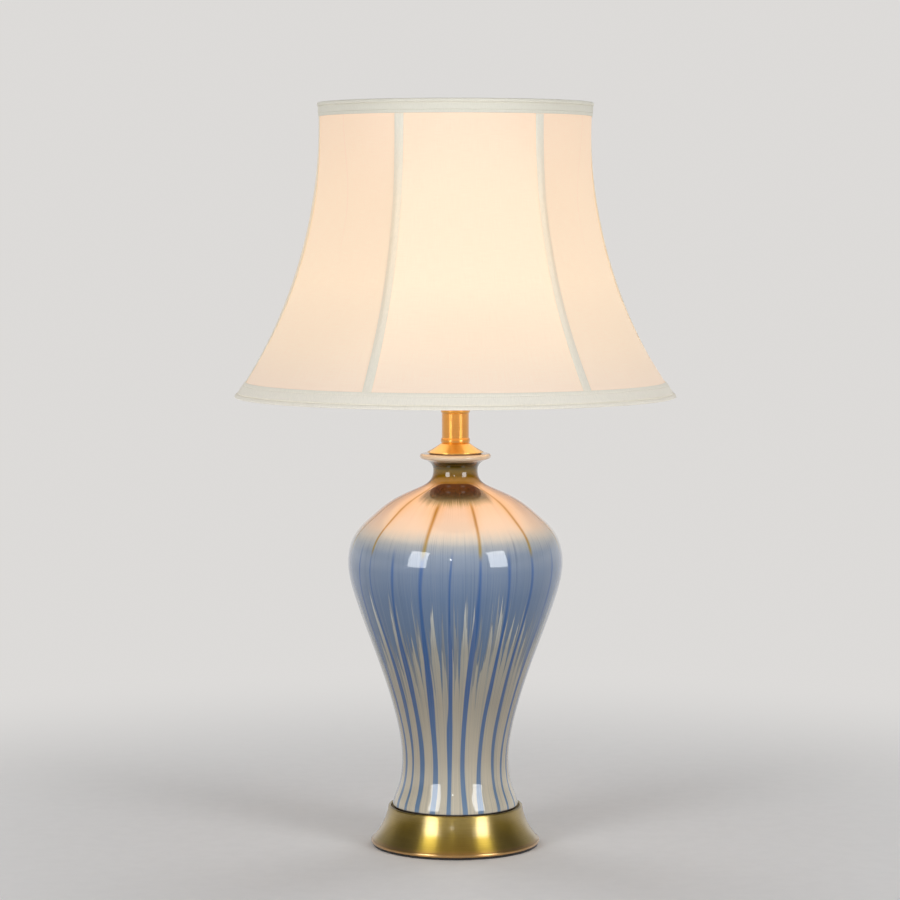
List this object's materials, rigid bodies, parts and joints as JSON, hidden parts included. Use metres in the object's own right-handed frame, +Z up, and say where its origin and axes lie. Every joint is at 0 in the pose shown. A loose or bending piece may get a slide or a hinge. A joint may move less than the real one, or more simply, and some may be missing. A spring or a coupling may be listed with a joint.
{
  "type": "table lamp",
  "caption": "Table lamp with a glazed ceramic vase body on a flared brass base, a brass neck and a bell-shaped fabric shade.",
  "frame": {"origin": "centre of the felt pad's underside, on the table", "axes": "+Z up the lamp, -Y towards the front, the cord gland at +Y"},
  "size_m": [0.3805, 0.3806, 0.6429],
  "materials": {
    "felt": "felt",
    "board": "raw",
    "base_brass": "brushed",
    "neck_brass": "polished",
    "ballast_iron": "raw",
    "rubber": "moulded",
    "steel": "plated",
    "glaze": "gloss",
    "bush_plastic": "moulded",
    "holder_metal": "satin",
    "porcelain": "glazed",
    "contact_brass": "bright",
    "holder_plastic": "moulded",
    "bulb_nickel": "satin",
    "bulb_insulator": "moulded",
    "bulb_plastic": "moulded",
    "bulb_opal": "opal",
    "board_metal": "white solder mask",
    "chip_phosphor": "gel",
    "frame_wire": "powder coat",
    "cover_cloth": "woven",
    "lining_cloth": "woven",
    "trim_cloth": "woven tape"
  },
  "bodies": {
    "lamp_body": {"felt_pad": "felt", "base_board": "board", "brass_base": "base_brass", "ballast_weight": "ballast_iron", "cord_gland": "rubber", "rod_nut": "steel", "rod_lock_washer": "steel", "rod_washer": "steel", "threaded_rod": "steel", "foot_gasket": "rubber", "vase": "glaze", "neck_bush": "bush_plastic", "cap_gasket": "rubber", "vase_cap": "neck_brass", "neck_lower_ring": "neck_brass", "neck_tube": "neck_brass", "neck_upper_ring": "neck_brass", "holder_cup": "holder_metal", "holder_grub_screw": "steel", "holder_core": "porcelain", "terminal_screws": "contact_brass", "centre_contact": "contact_brass", "screw_shell": "contact_brass", "holder_sleeve": "holder_plastic"},
    "shade": {"shade_fitter_ring": "frame_wire", "shade_spider_arms": "frame_wire", "shade_bottom_ring": "frame_wire", "shade_top_ring": "frame_wire", "shade_ribs": "frame_wire", "shade_cover": "cover_cloth", "shade_lining": "lining_cloth", "shade_top_trim": "trim_cloth", "shade_bottom_trim": "trim_cloth", "seam_strips": "trim_cloth"},
    "clamp_ring": {"shade_clamp_ring": "holder_plastic"},
    "bulb": {"bulb_tip_contact": "bulb_nickel", "bulb_insulator": "bulb_insulator", "bulb_cap": "bulb_nickel", "bulb_housing": "bulb_plastic", "light_board": "board_metal", "light_chips": "chip_phosphor", "bulb_diffuser": "bulb_opal"}
  },
  "joints": [
    {"name": "shade_turn", "type": "hinge", "parent": "lamp_body", "child": "shade", "pos_m": [0, 0, 0.4074], "axis": [0, 0, 1], "continuous": true},
    {"name": "clamp_ring_turn", "type": "hinge", "parent": "lamp_body", "child": "clamp_ring", "pos_m": [0, 0, 0.4131], "axis": [0, 0, 1], "range_deg": [0, 1440]},
    {"name": "bulb_turn", "type": "hinge", "parent": "lamp_body", "child": "bulb", "pos_m": [0, 0, 0.42], "axis": [0, 0, 1], "range_deg": [0, 1800]}
  ]
}
